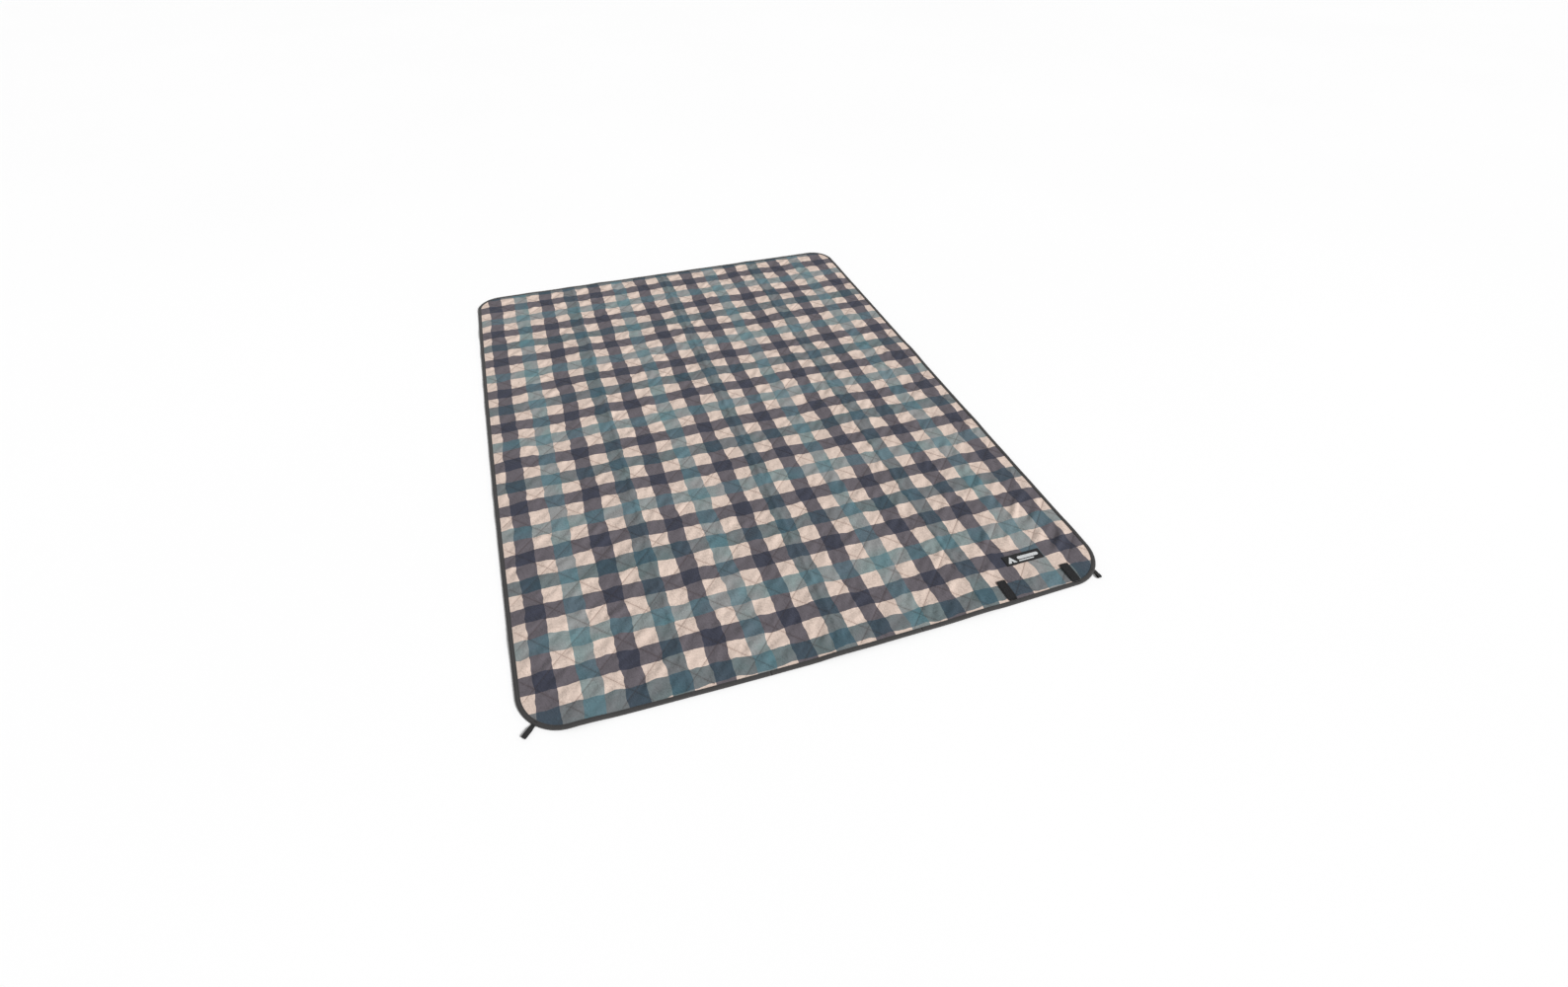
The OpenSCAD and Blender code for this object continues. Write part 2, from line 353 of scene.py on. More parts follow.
class Solid:
    """Points, their UVs and their faces, added part by part."""

    def __init__(self):
        self.points, self.uvs, self.faces, self.count = [], [], [], 0

    def add(self, points, *faces, uv=None):
        points = np.asarray(points, float)
        self.points.append(points)
        self.uvs.append(points[:, :2] if uv is None else uv)
        self.faces += [np.asarray(f) + self.count for f in faces]
        self.count += len(points)
        return self

    def build(self, name, material, normals=None):
        """Makes the object. Its quads are shaded smooth, with the normal at each point where given."""
        corners = np.concatenate([f.ravel() for f in self.faces]).astype(np.int32)
        sizes = np.concatenate([np.full(len(f), f.shape[1]) for f in self.faces])
        mesh = bpy.data.meshes.new(name)
        mesh.vertices.add(self.count)
        mesh.vertices.foreach_set("co", np.concatenate(self.points).astype(np.float32).ravel())
        mesh.loops.add(len(corners))
        mesh.loops.foreach_set("vertex_index", corners)
        mesh.polygons.add(len(sizes))
        mesh.polygons.foreach_set("loop_start", (np.cumsum(sizes) - sizes).astype(np.int32))
        mesh.polygons.foreach_set("use_smooth", sizes == 4)
        mesh.update(calc_edges=True)
        layer = mesh.uv_layers.new(name=UV)
        layer.data.foreach_set("uv", np.concatenate(self.uvs)[corners].astype(np.float32).ravel())
        if normals is not None:
            mesh.normals_split_custom_set_from_vertices(normals.astype(np.float32))
        mesh.materials.append(material)
        made = bpy.data.objects.new(name, mesh)
        bpy.context.scene.collection.objects.link(made)
        return made


def smooth(t):
    t = np.clip(t, 0, 1)
    return t * t * (3 - 2 * t)


def closed_grid(top, bottom, turned=None):
    """The solid between two grids of points: its points and quads. Quads that are turned are cut along
    their other diagonal."""
    rows, columns = top.shape[:2]
    index = np.arange(rows * columns).reshape(rows, columns)
    corners = [index[:-1, :-1], index[:-1, 1:], index[1:, 1:], index[1:, :-1]]
    quads = np.stack(corners, -1).reshape(-1, 4)
    if turned is not None:
        turned = turned.ravel()
        quads[turned] = np.roll(quads[turned], -1, axis=1)
    rim = np.concatenate([index[0], index[1:, -1], index[-1, -2::-1], index[-2:0:-1, 0]])
    after = np.roll(rim, -1)
    under = rows * columns
    sides = np.stack([rim + under, after + under, after, rim], -1)
    points = np.concatenate([top.reshape(-1, 3), bottom.reshape(-1, 3)])
    return points, quads, quads[:, [0, 3, 2, 1]] + under, sides


def spindles(middle, along, up, half, radius, rings=1):
    """A closed spindle for each stitch: pointed at both ends and square in the middle."""
    across = np.cross(up, along)
    places = [0.0] if rings == 1 else [-0.55, 0.55]
    parts = [middle - along * half]
    for place in places:
        for x, z in ((1, 0), (0, 1), (-1, 0), (0, -1)):
            parts.append(middle + along * half * place + (across * x + up * z) * radius)
    parts.append(middle + along * half)
    per = len(parts)
    points = np.stack(parts, 1).reshape(-1, 3)
    first = (np.arange(len(middle)) * per)[:, None]
    triangles, quads = [], []
    for k in range(4):
        here, after = 1 + k, 1 + (k + 1) % 4
        triangles.append(first + [0, after, here])
        triangles.append(first + [per - 1, per - 5 + k, per - 5 + (k + 1) % 4])
        if rings == 2:
            quads.append(first + [here, after, after + 4, here + 4])
    faces = [np.concatenate(triangles)] + ([np.concatenate(quads)] if quads else [])
    return points, *faces


def arc(centre_x, centre_y, radius, start, sweep, count):
    """Points along an arc, from a start in degrees."""
    turns = np.radians(np.linspace(start, start + sweep, count))
    return [(centre_x + radius * math.cos(turn), centre_y + radius * math.sin(turn)) for turn in turns]


def prism(outline, low, high):
    """An upright solid over a flat outline that runs anticlockwise."""
    outline = np.asarray(outline, float)
    n = len(outline)
    points = [np.c_[outline, np.full(n, z)] for z in (low, high)]
    index = np.arange(n)
    after = np.roll(index, -1)
    sides = np.stack([index, after, after + n, index + n], -1)
    return np.concatenate(points), sides, (index + n)[None], index[::-1][None]


def carried(piece, body, stands_for=None):
    """A piece that rides on one body."""
    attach(piece, body)
    if stands_for:
        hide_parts(stands_for)
    return piece


# ---------------- the rug's shape


def edge_distance(x, y):
    """Distance of a point of the flat rug from its edge."""
    radius = np.where(y < 0, FRONT_R, REAR_R)
    over_x, over_y = np.abs(x) - EDGE_X + radius, np.abs(y) - EDGE_Y + radius
    outside = np.hypot(np.maximum(over_x, 0), np.maximum(over_y, 0))
    return radius - outside - np.minimum(np.maximum(over_x, over_y), 0)


def off_lines(x, y):
    """How far a point is from the nearest quilting line of each family, as a share of their step."""
    turns = [(along - phase) / QUILT_STEP for along, phase in ((x - y, PHASE_MINUS), (x + y, PHASE_PLUS))]
    return [np.abs(turn - np.round(turn)) for turn in turns]


def quilt(x, y):
    """0 on a quilting line, 1 in the middle of a diamond."""
    minus, plus = (1 - (1 - 2 * off) ** PUFF_POWER for off in off_lines(x, y))
    return minus * plus


def groove_shade_mask(x, y):
    """Painted shade for the quilting grooves: 1 on a quilting line, 0 at a step of the grid or more from it,
    and 0 in the border by the binding.
    """
    near = np.maximum(*(1 - off * QUILT_STEP / GRID for off in off_lines(x, y)))
    return np.clip(near, 0, 1) * smooth(edge_distance(x, y) / BINDING_W - 1)


def rectangle_distance(x, y, area):
    """Distance of a point from a rectangle, and 0 inside it."""
    x0, x1, y0, y1 = area
    return np.hypot(np.maximum(np.maximum(x0 - x, x - x1), 0), np.maximum(np.maximum(y0 - y, y - y1), 0))


def areas_of(*nodes):
    """The rectangle of each node: its least and most x, then y."""
    return [box(node)[:, :2].T.ravel() for node in nodes]


LABEL_AREA, *TAB_AREAS = areas_of("label", "tab_left_webbing", "tab_right_webbing")
PATCH_AREAS = areas_of("tab_patch_left", "tab_patch_right")
LOOP_AREAS = areas_of("peg_loop_left", "peg_loop_right")
# How far past each of them the rug lies flat, and how far on it is free
FLAT_PAST_TAB, TAB_REACH = 4 * MM, 55 * MM
FLAT_PAST_LOOP, LOOP_REACH = 10 * MM, 90 * MM


def calm(x, y):
    """1 where the rug has to lie flat, under the label, the tabs and the loops, and 0 away from them."""
    total = 1.0
    for area in [LABEL_AREA, *TAB_AREAS]:
        total = total * smooth((rectangle_distance(x, y, area) - FLAT_PAST_TAB) / TAB_REACH)
    for area in LOOP_AREAS:
        total = total * smooth((rectangle_distance(x, y, area) - FLAT_PAST_LOOP) / LOOP_REACH)
    return 1 - total


def random_waves(draw, count, shortest, longest, height, towards=0.0, spread=math.pi / 2):
    """A seeded sum of waves within a spread of one direction, as a function of x and y. Its height is
    their root mean square."""
    length = draw.uniform(shortest, longest, count)
    turn = towards + draw.uniform(-spread, spread, count)
    phase = draw.uniform(0, math.tau, count)
    size = draw.uniform(0.3, 1.0, count) * length
    size *= height * math.sqrt(2) / np.sqrt((size**2).sum())

    def at(x, y):
        total = np.zeros(np.broadcast(x, y).shape)
        for l, t, p, s in zip(length, turn, phase, size):
            total += s * np.sin(math.tau * (x * math.cos(t) + y * math.sin(t)) / l + p)
        return total

    return at


draws = np.random.default_rng(SEED)
swell = random_waves(draws, 26, 0.16, 0.50, 6 * MM)
ripple = random_waves(draws, 40, 0.035, 0.11, 0.45 * MM)
streaks = random_waves(draws, 60, 0.020, 0.050, 0.85 * MM, -math.pi / 4, 0.5)
gathers = random_waves(draws, 40, 0.030, 0.075, 1.7 * MM, -math.pi / 4, 0.35)


def drop_cloth(x, y, z):
    """Drops a sheet of cloth on the ground and returns its heights once it has settled."""
    rows, columns = z.shape
    index = np.arange(rows * columns).reshape(rows, columns)
    quads = np.stack([index[:-1, :-1], index[:-1, 1:], index[1:, 1:], index[1:, :-1]], -1)
    cloth = Solid().add(np.stack([x, y, z], -1).reshape(-1, 3), quads.reshape(-1, 4)).build("drop", COVER)
    bpy.ops.mesh.primitive_plane_add(size=4)
    ground = bpy.context.object
    ground.modifiers.new("ground", "COLLISION")
    ground.collision.thickness_outer = MM
    ground.collision.cloth_friction = 60
    modifier = cloth.modifiers.new("cloth", "CLOTH")
    settings, contact = modifier.settings, modifier.collision_settings
    settings.quality, settings.mass, settings.air_damping = 6, 0.002, 1
    settings.tension_stiffness = settings.compression_stiffness = 25
    settings.shear_stiffness, settings.bending_stiffness = 10, 0.5
    contact.distance_min, contact.collision_quality, contact.friction = MM, 2, 40
    for moment in range(1, SIM_FRAMES + 1):
        bpy.context.scene.frame_set(moment)
    evaluated = cloth.evaluated_get(bpy.context.evaluated_depsgraph_get())
    points = np.zeros(rows * columns * 3)
    evaluated.data.vertices.foreach_get("co", points)
    for o in (cloth, ground):
        bpy.data.objects.remove(o)
    bpy.context.scene.frame_set(1)
    return points.reshape(rows, columns, 3)[..., 2]


def settled():
    """Heights on a coarse grid over the whole rug: a slack sheet, creased at its folds, that has settled."""
    x, y = np.meshgrid(
        np.linspace(-EDGE_X, EDGE_X, round(2 * EDGE_X / SIM_STEP) + 1),
        np.linspace(-EDGE_Y, EDGE_Y, round(2 * EDGE_Y / SIM_STEP) + 1),
    )
    z = swell(x, y) + sum(RIDGE * np.exp(-np.abs(x - fold) / RIDGE_REACH) for fold in FOLDS)
    z += START_GAP - z.min()
    z = drop_cloth(x, y, z)
    z = z - np.median(z)
    kernel = np.array([1, 4, 6, 4, 1]) / 16
    for axis in (0, 1):
        z = np.apply_along_axis(lambda line: np.convolve(np.pad(line, 2, "edge"), kernel, "valid"), axis, z)
    return z


ground_gap = settled()


def at_least(value, least, softness):
    """The value, kept above a least value with a soft turn between the two."""
    return least + softness * np.logaddexp(0, (value - least) / softness)


def spline(t):
    """The four weights of a cubic B-spline at a share of a step."""
    return [(1 - t) ** 3 / 6, (3 * t**3 - 6 * t**2 + 4) / 6, (1 + 3 * (t + t**2 - t**3)) / 6, t**3 / 6]


def lift(x, y):
    """How far the underside is off the ground at a point of the flat rug."""
    x, y = np.broadcast_arrays(np.asarray(x, float), np.asarray(y, float))
    heights = np.pad(ground_gap, 2, "edge")
    rows, columns = ground_gap.shape
    at_x, at_y = (x + EDGE_X) / SIM_STEP, (y + EDGE_Y) / SIM_STEP
    i = np.clip(np.floor(at_x).astype(int), 0, columns - 1)
    j = np.clip(np.floor(at_y).astype(int), 0, rows - 1)
    total = np.zeros(x.shape)
    for b, weight_y in enumerate(spline(at_y - j)):
        for a, weight_x in enumerate(spline(at_x - i)):
            total += weight_y * weight_x * heights[j + b + 1, i + a + 1]
    return LIFT_MAX * np.tanh(at_least(total, 0.0, MM) / LIFT_MAX) * (1 - calm(x, y))


def at_folds(x, height, reach):
    """Low ridges along the folds."""
    return sum(height * np.exp(-(((x - fold) / reach) ** 2)) for fold in FOLDS)


def border(x, y):
    """0 at the binding, where the layers are pressed together, and 1 inside the rug."""
    return smooth((edge_distance(x, y) - BINDING_W + MM) / BORDER_REACH)


def cover_height(x, y):
    """Top of the cover above the rug's underside."""
    still = calm(x, y)
    full = quilt(x, y)
    puff = (PUFF_TOP - LINE_TOP) * full * (1 - CALM_PUFF * still)
    folds = ripple(x, y) + streaks(x, y) * (0.35 + 0.65 * full)
    folds += at_folds(x, CREASE, CREASE_REACH)
    near_tabs = smooth(1.3 - np.hypot(x - GATHER_AT[0], y - GATHER_AT[1]) / GATHER_REACH)
    folds += at_least(gathers(x, y), 0.0, 0.5 * MM) * near_tabs
    top = LINE_TOP + puff + folds * (1 - still)
    height = at_least(BORDER_TOP + (top - BORDER_TOP) * border(x, y), LEAST_TOP, 0.1 * MM)
    return -at_least(-height, lift(x, y) - CEILING, 0.25 * MM)


def wadding_height(x, y):
    """Top of the wadding: clear of the cover at the points between those of its coarser grid, and squeezed
    thinner in the folds."""
    beside = ((0, 0), (1, 0), (-1, 0), (0, 1), (0, -1))
    near = [cover_height(x + dx * GRID, y + dy * GRID) for dx, dy in beside]
    least = backing_height(x, y) + FABRIC_T + WADDING_LEAST
    top = np.min(near, 0) - FABRIC_T - WADDING_UNDER - at_folds(x, CRIMP, CRIMP_REACH)
    return np.maximum(top, least)


def backing_height(x, y):
    """Bottom of the backing above the rug's underside. It gives way to the patches that it carries."""
    bottom = BORDER_BOTTOM + (LINE_BOTTOM * (1 - quilt(x, y)) - BORDER_BOTTOM) * border(x, y)
    for area in PATCH_AREAS:
        bottom = bottom + PATCH_SEAT * (1 - smooth(rectangle_distance(x, y, area) / (6 * MM)))
    return bottom


def front_bow(x, y):
    """How far the front edge's bow moves a point forward."""
    bow = np.clip(1 - ((x - BOW_X) / BOW_HALF) ** 2, 0, 1) ** 2
    return FRONT_BOW * bow * np.exp(-(((y + EDGE_Y) / BOW_FADE) ** 2))


def laid(x, y, z):
    """A point of the flat rug, at a height above the ground, as it lies in the frame."""
    x, y, z = np.broadcast_arrays(x, y, z)
    left = LEFT_BOW * np.clip(1 - y**2, 0, 1) * np.exp(-(((x + EDGE_X) / BOW_FADE) ** 2))
    return np.stack([x - left, y - front_bow(x, y), z], -1)


def flat_grid(step):
    """Points of the flat rug in rows and columns, drawn in to its rounded corners. The quilting lines run
    through them, except in the bends, where the columns are closer."""
    pitch = GRID * step
    last = int((EDGE_X - LAYER_INSET) / pitch)
    columns = np.arange(-last, last + 1) * pitch
    columns[0], columns[-1] = -EDGE_X + LAYER_INSET, EDGE_X - LAYER_INSET
    for closer in BEND_COLUMNS:
        outside = (columns < closer[0] - GRID / 5) | (columns > closer[-1] + GRID / 5)
        columns = np.concatenate([columns[outside], closer])
    columns.sort()
    end = EDGE_Y - LAYER_INSET
    first = math.ceil((-end - PHASE_PLUS) / pitch)
    rows = np.arange(first, int((end - PHASE_PLUS) / pitch) + 1) * pitch + PHASE_PLUS
    rows = np.concatenate([[-end], rows, [end]])
    x, y = np.meshgrid(columns, rows)
    radius = np.where(y < 0, FRONT_R, REAR_R)
    inner = radius - LAYER_INSET
    beyond = np.clip(np.abs(y) - EDGE_Y + radius, 0, inner)
    width = EDGE_X - radius + np.sqrt(inner**2 - beyond**2)
    share = (width - SQUEEZE_FROM) / (EDGE_X - LAYER_INSET - SQUEEZE_FROM)
    drawn = np.sign(x) * (SQUEEZE_FROM + (np.abs(x) - SQUEEZE_FROM) * share)
    return np.where(np.abs(x) > SQUEEZE_FROM, drawn, x), y, columns


def surface_normals(points):
    """The upward normal at each point of a grid."""
    normals = np.cross(np.gradient(points, axis=1), np.gradient(points, axis=0))
    return normals / np.linalg.norm(normals, axis=-1, keepdims=True)


def bend(piece, zone, layer=None):
    """A zone's piece, with its place baked into its points, stands for its layer's CAD nodes."""
    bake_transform(piece)
    if layer:
        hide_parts(*[f"{layer}_{quarter}" for quarter in ZONE_QUARTERS[zone]])
    return piece


def columns_of(zone, columns):
    """The columns of a grid that a zone takes."""
    low, high = (int(np.argmin(np.abs(columns - edge))) for edge in (-ZONE_EDGE, ZONE_EDGE))
    first, last = {"left": (0, low), "middle": (low, high), "right": (high, len(columns) - 1)}[zone]
    return slice(first, last + 1)


def make_layer(layer, name, material, step, top_of, bottom_of):
    """One layer of the rug in its three zones, between two heights."""
    x, y, columns = flat_grid(step)
    ground = lift(x, y)
    top, bottom = (laid(x, y, ground + height(x, y)) for height in (top_of, bottom_of))
    up, down = surface_normals(top), -surface_normals(bottom)
    first_row = np.interp(x, FIRST_ROW_X, FIRST_ROW_SHIFT) * np.exp(-(((y + EDGE_Y) / FIRST_ROW_REACH) ** 2))
    pattern = np.stack([x, y - PATTERN_SHARE * front_bow(x, y) + first_row], -1)
    # Quads on the lines that run forward to the right are cut along them
    centres = ((a[:-1, :-1] + a[1:, 1:]) / 2 for a in (x, y))
    turned = off_lines(*centres)[1] < 0.6 * GRID * step / QUILT_STEP
    made = {}
    for zone in ZONES:
        at = columns_of(zone, columns)
        cells = slice(at.start, at.stop - 1)
        uv = np.tile(pattern[:, at].reshape(-1, 2), (2, 1))
        solid = Solid().add(*closed_grid(top[:, at], bottom[:, at], turned[:, cells]), uv=uv)
        normals = np.concatenate([up[:, at].reshape(-1, 3), down[:, at].reshape(-1, 3)])
        made[zone] = bend(solid.build(f"{name}_{zone}", material, normals), zone, layer)
        # How near each point is to a quilting line: the cover's material reads it as painted shade in the
        # grooves
        shade_share = np.tile(groove_shade_mask(x[:, at], y[:, at]).ravel(), 2).astype(np.float32)
        made[zone].data.attributes.new(GROOVE_SHADE_ATTRIBUTE, "FLOAT", "POINT").data.foreach_set("value", shade_share)
    return made


def cover_underside(x, y):
    return cover_height(x, y) - FABRIC_T


def backing_top(x, y):
    return backing_height(x, y) + FABRIC_T


def wadding_underside(x, y):
    return backing_top(x, y) + WADDING_OVER


covers = make_layer("cover", "checked_cover", COVER, 1, cover_height, cover_underside)
waddings = make_layer("wadding", "wadding_layer", WADDING, 2, wadding_height, wadding_underside)
backings = make_layer("backing", "backing_film", BACKING, 1, backing_top, backing_height)


# ---------------- binding and stitches

STITCH_PITCH, STITCH_HALF, STITCH_R = 4.5 * MM, 1.8 * MM, 0.38 * MM
SEAM_PROUD, QUILTING_PROUD = 0.1 * MM, 0.15 * MM
PATH_STEP = 4.5 * MM
TAPE_T = 0.8 * MM
PUCKER, PUCKER_WAVE = 0.16 * MM, 13 * MM
# The outside of the folded tape from its upper lip to its lower lip: distance in from the edge and height
TAPE_OUTSIDE = np.array(
    [
        (11.3, 4.45), (11.2, 5.0), (10.6, 5.25), (9.7, 5.15), (9.0, 4.95), (8.3, 5.12), (7.0, 5.28),
        (5.0, 5.32), (3.0, 5.2), (1.5, 4.85), (0.5, 4.1), (0.05, 3.2), (0.0, 2.5), (0.05, 1.8), (0.5, 0.9),
        (1.5, 0.3), (3.0, 0.1), (5.0, 0.0), (7.0, 0.03), (8.3, 0.12), (9.0, 0.25), (9.7, 0.12), (10.6, 0.02),
        (11.2, 0.1), (11.3, 0.55),
    ]
) * MM  # fmt: skip


def edge_path():
    """Points along the rug's edge, anticlockwise from the middle of its front: place and inward normal."""
    places, normals = [], []
    corners = ((1, -1, FRONT_R, -90), (1, 1, REAR_R, 0), (-1, 1, REAR_R, 90), (-1, -1, FRONT_R, 180))
    here = np.array([0.0, -EDGE_Y])
    for side_x, side_y, radius, start in corners:
        centre = np.array([side_x * (EDGE_X - radius), side_y * (EDGE_Y - radius)])
        angles = np.radians(np.linspace(start, start + 90, round(radius * math.pi / 2 / PATH_STEP) + 1))
        curve = centre + radius * np.stack([np.cos(angles), np.sin(angles)], -1)
        gap = curve[0] - here
        count = round(np.hypot(*gap) / PATH_STEP)
        straight = here + gap * (np.arange(count) / count)[:, None]
        outward = np.array([math.cos(angles[0]), math.sin(angles[0])])
        places += [straight, curve[:-1]]
        normals += [np.tile(-outward, (count, 1)), (centre - curve[:-1]) / radius]
        here = curve[-1]
    gap = np.array([0.0, -EDGE_Y]) - here
    count = round(np.hypot(*gap) / PATH_STEP)
    places.append(here + gap * (np.arange(count + 1) / count)[:, None])
    normals.append(np.tile([0.0, 1.0], (count + 1, 1)))
    return np.concatenate(places), np.concatenate(normals)


def run_along(points):
    """The distance of each point along the line through them."""
    return np.concatenate([[0], np.cumsum(np.linalg.norm(np.diff(points, axis=0), axis=1))])


path, path_inward = edge_path()
path_run = run_along(path)


def along_edge(run):
    """Places on the edge and their inward normals at distances along it."""
    place = np.stack([np.interp(run, path_run, path[:, k]) for k in (0, 1)], -1)
    inward = np.stack([np.interp(run, path_run, path_inward[:, k]) for k in (0, 1)], -1)
    return place, inward / np.linalg.norm(inward, axis=1, keepdims=True)


def run_at(x, front):
    """The distance along the edge at which it passes an x on its front or rear."""
    on_side = (path[:, 1] < 0) == front
    on_side &= np.abs(path[:, 0]) < EDGE_X - FRONT_R
    k = int(np.argmin(np.where(on_side, np.abs(path[:, 0] - x), np.inf)))
    return path_run[k] + (1 if front else -1) * (x - path[k, 0])


total_run = path_run[-1]
front_right, rear_right = run_at(ZONE_EDGE, True), run_at(ZONE_EDGE, False)
front_left, rear_left = run_at(-ZONE_EDGE, True), run_at(-ZONE_EDGE, False)
ZONE_RUNS = {
    "left": [(rear_left, front_left)],
    "middle": [(front_left - total_run, front_right), (rear_right, rear_left)],
    "right": [(front_right, rear_right)],
}


def edge_lift(place, inward):
    """How far the rug is off the ground at the middle of its binding."""
    middle = place + inward * BINDING_W / 2
    return lift(middle[:, 0], middle[:, 1])


def tape_points(place, inward, profile, pucker):
    """The tape's cross-sections along the edge."""
    inset, height = profile[:, 0], profile[:, 1]
    flat = place[:, None] + inward[:, None] * inset[None, :, None]
    ground = edge_lift(place, inward)[:, None]
    return laid(flat[..., 0], flat[..., 1], ground + height[None, :] + pucker)


def inside_of(outline, thickness):
    """The same open outline, moved inwards by the tape's thickness."""
    along = np.gradient(outline, axis=0)
    along /= np.linalg.norm(along, axis=1, keepdims=True)
    return outline + thickness * np.stack([-along[:, 1], along[:, 0]], -1)


TAPE_INSIDE = inside_of(TAPE_OUTSIDE, TAPE_T)
TAPE_RUN = run_along(TAPE_OUTSIDE)
SEAM_TOP, SEAM_BOTTOM = TAPE_OUTSIDE[4, 1], TAPE_OUTSIDE[20, 1]


def make_binding(zone):
    """The folded tape of one zone, puckered on its upper side, and with closer steps in the bends."""
    solid = Solid()
    in_bends = np.array([run_at(x, front) for x in np.concatenate(BEND_COLUMNS) for front in (True, False)])
    for start, end in ZONE_RUNS[zone]:
        closer = start + np.mod(in_bends - start, total_run)
        run = np.linspace(start, end, round((end - start) / PATH_STEP) + 1)
        run = np.unique(np.round(np.concatenate([run, closer[closer < end]]), 4))
        place, inward = along_edge(np.mod(run, total_run))
        wave = PUCKER * np.sin(run * math.tau / PUCKER_WAVE + 3 * np.sin(run * 9))
        upper = smooth((TAPE_OUTSIDE[:, 1] - 3 * MM) / (2 * MM))
        pucker = wave[:, None] * upper[None, :]
        outer = tape_points(place, inward, TAPE_OUTSIDE, pucker)
        inner = tape_points(place, inward, TAPE_INSIDE, pucker)
        uv = np.stack(np.meshgrid(TAPE_RUN, run), -1).reshape(-1, 2)
        solid.add(*closed_grid(outer, inner), uv=np.tile(uv, (2, 1)))
    return bend(solid.build(f"binding_tape_{zone}", BINDING), zone, "binding")


def stitches(start, end, up, radius=STITCH_R, rings=2):
    """A stitch from each start to each end."""
    along = end - start
    length = np.linalg.norm(along, axis=1, keepdims=True)
    along = along / length
    up = np.tile([0.0, 0.0, up], (len(start), 1))
    return spindles((start + end) / 2, along, up, length / 2, radius, rings)


def make_seam(zone):
    """The stitches of the binding's seam in one zone, on both faces."""
    solid = Solid()
    for height, up in ((SEAM_TOP + SEAM_PROUD, 1.0), (SEAM_BOTTOM - SEAM_PROUD, -1.0)):
        for start, end in ZONE_RUNS[zone]:
            run = np.arange(start + STITCH_PITCH / 2, end, STITCH_PITCH)
            ends = []
            for shift in (-STITCH_HALF, STITCH_HALF):
                place, inward = along_edge(np.mod(run + shift, total_run))
                flat = place + inward * SEAM_INSET
                ends.append(laid(flat[:, 0], flat[:, 1], edge_lift(place, inward) + height))
            solid.add(*stitches(*ends, up))
    return bend(solid.build(f"seam_stitches_{zone}", SEAM_THREAD), zone, "seam_thread")


def quilting_runs():
    """Start and end of every quilting stitch on the flat rug, except under the label and the patches."""
    starts, ends = [], []
    reach = EDGE_X + EDGE_Y
    count = math.ceil(reach / QUILT_STEP)
    along = np.arange(-reach, reach, STITCH_PITCH)
    for sign, phase in ((1, PHASE_MINUS), (-1, PHASE_PLUS)):
        for k in range(-count, count + 1):
            offset = phase + k * QUILT_STEP
            tips = []
            for shift in (-STITCH_HALF, STITCH_HALF):
                t = (along + shift) / math.sqrt(2)
                tips.append(np.stack([offset / 2 + t, sign * (t - offset / 2)], -1))
            x, y = ((tips[0] + tips[1]) / 2).T
            inside = (np.abs(x) < EDGE_X) & (np.abs(y) < EDGE_Y) & (edge_distance(x, y) > BINDING_W + 2 * MM)
            inside &= np.min([rectangle_distance(x, y, a) for a in [LABEL_AREA, *PATCH_AREAS]], 0) >= MM
            starts.append(tips[0][inside])
            ends.append(tips[1][inside])
    return np.concatenate(starts), np.concatenate(ends)


quilt_start, quilt_end = quilting_runs()


def make_quilting(zone, face, height_of, offset, up, material):
    """The quilting stitches of one zone on one face."""
    x = (quilt_start + quilt_end)[:, 0] / 2
    chosen = {"left": x < -ZONE_EDGE, "middle": np.abs(x) <= ZONE_EDGE, "right": x > ZONE_EDGE}[zone]
    ends = []
    for point in (quilt_start[chosen], quilt_end[chosen]):
        x, y = point[:, 0], point[:, 1]
        ends.append(laid(x, y, lift(x, y) + height_of(x, y) + offset))
    solid = Solid().add(*stitches(*ends, up, rings=1))
    return bend(solid.build(f"quilting_{face}_{zone}", material), zone)


bindings, seams, top_quilting, under_quilting = {}, {}, {}, {}
for zone in ZONES:
    bindings[zone] = make_binding(zone)
    seams[zone] = make_seam(zone)
    top_quilting[zone] = make_quilting(zone, "top", cover_height, QUILTING_PROUD, 1.0, QUILT_THREAD)
    under_quilting[zone] = make_quilting(zone, "under", backing_height, -QUILTING_PROUD, -1.0, UNDER_THREAD)


# ---------------- label

label_low, label_high = box("label")
label_top = label_high[2]
LABEL_HEM, LABEL_RIM = 2 * MM, 0.5 * MM
# The emblem in millimetres from the label's left end and middle: a tent's outline about its own middle,
# and the start, end, bottom and top of two bars
TENT_X, TENT = 20, [(-13, -10), (-3.4, -10), (0, -1.5), (3.4, -10), (13, -10), (0, 11)]
BARS = ((39, 102, -3, 7), (39, 84, -10, -6))


def make_label():
    """The woven label, with softened rims and a slight wave."""
    columns, rows = (
        np.concatenate([[0], np.linspace(LABEL_RIM, size - LABEL_RIM, count), [size]])
        for size, count in ((label_high[0] - label_low[0], 56), (label_high[1] - label_low[1], 18))
    )
    x, y = np.meshgrid(label_low[0] + columns, label_low[1] + rows)
    rim = (columns[None, :] % columns[-1] == 0) | (rows[:, None] % rows[-1] == 0)
    wave = 0.12 * MM * np.sin(x / (9 * MM)) * np.cos(y / (7 * MM))
    top = label_top + wave - np.where(rim, 0.25 * MM, 0)
    low = np.full_like(top, label_low[2] - 0.25 * MM) + np.where(rim, 0.2 * MM, 0)
    solid = Solid().add(*closed_grid(np.stack([x, y, top], -1), np.stack([x, y, low], -1)))
    return carried(solid.build("label_cloth", LABEL), "quarter_right", "label")


